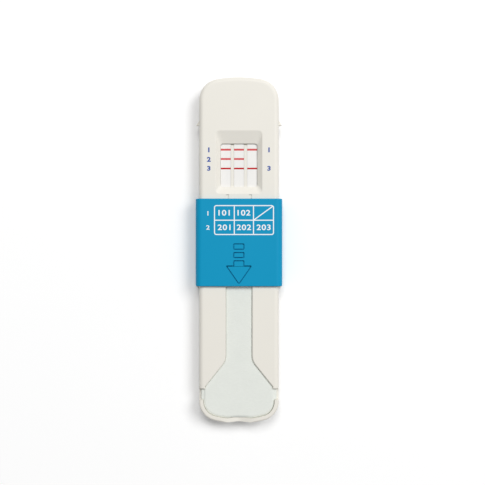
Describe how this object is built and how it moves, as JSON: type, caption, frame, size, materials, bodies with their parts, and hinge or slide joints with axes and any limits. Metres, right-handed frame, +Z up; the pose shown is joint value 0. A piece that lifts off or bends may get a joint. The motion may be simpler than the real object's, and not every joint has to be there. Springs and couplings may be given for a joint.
{
  "type": "lateral flow cassette",
  "caption": "Flat cream saliva test cassette with bevelled reading window, absorbent pad at its round tip and a blue sleeve that slides along it.",
  "frame": {"origin": "bottom centre of the part's box, as it lies face up: on the surface that the sleeve's flat underside rests on", "axes": "+Z up, out of the reading face; +Y along the housing, from the pad's tip to the head; +X across, to the right when the face is read with the head up"},
  "size_m": [0.0348, 0.1388, 0.0096],
  "materials": {
    "housing": "fine satin moulded plastic, warm white",
    "sleeve": "satin moulded plastic, cyan blue",
    "collection_fibre": "pressed absorbent fibre, greenish white",
    "card": "white adhesive-backed sheet",
    "membrane": "smooth white porous membrane",
    "conjugate_fibre": "glass fibre, faintly pink",
    "sample_fibre": "soft cellulose fibre",
    "wick_fibre": "thick blotting paper"
  },
  "bodies": {
    "housing": {"top_shell": "housing", "bottom_shell": "housing", "collection_pad": "collection_fibre", "backing_card_1": "card", "backing_card_2": "card", "backing_card_3": "card", "membrane_1": "membrane", "membrane_2": "membrane", "membrane_3": "membrane", "conjugate_pad_1": "conjugate_fibre", "conjugate_pad_2": "conjugate_fibre", "conjugate_pad_3": "conjugate_fibre", "sample_pad_1": "sample_fibre", "sample_pad_2": "sample_fibre", "sample_pad_3": "sample_fibre", "wick_pad_1": "wick_fibre", "wick_pad_2": "wick_fibre", "wick_pad_3": "wick_fibre"},
    "sleeve": {"slide_sleeve": "sleeve"}
  },
  "joints": [
    {"name": "sleeve_slide", "type": "slide", "parent": "housing", "child": "sleeve", "axis": [0, 1, 0], "range_m": [0, 0.0297]}
  ]
}
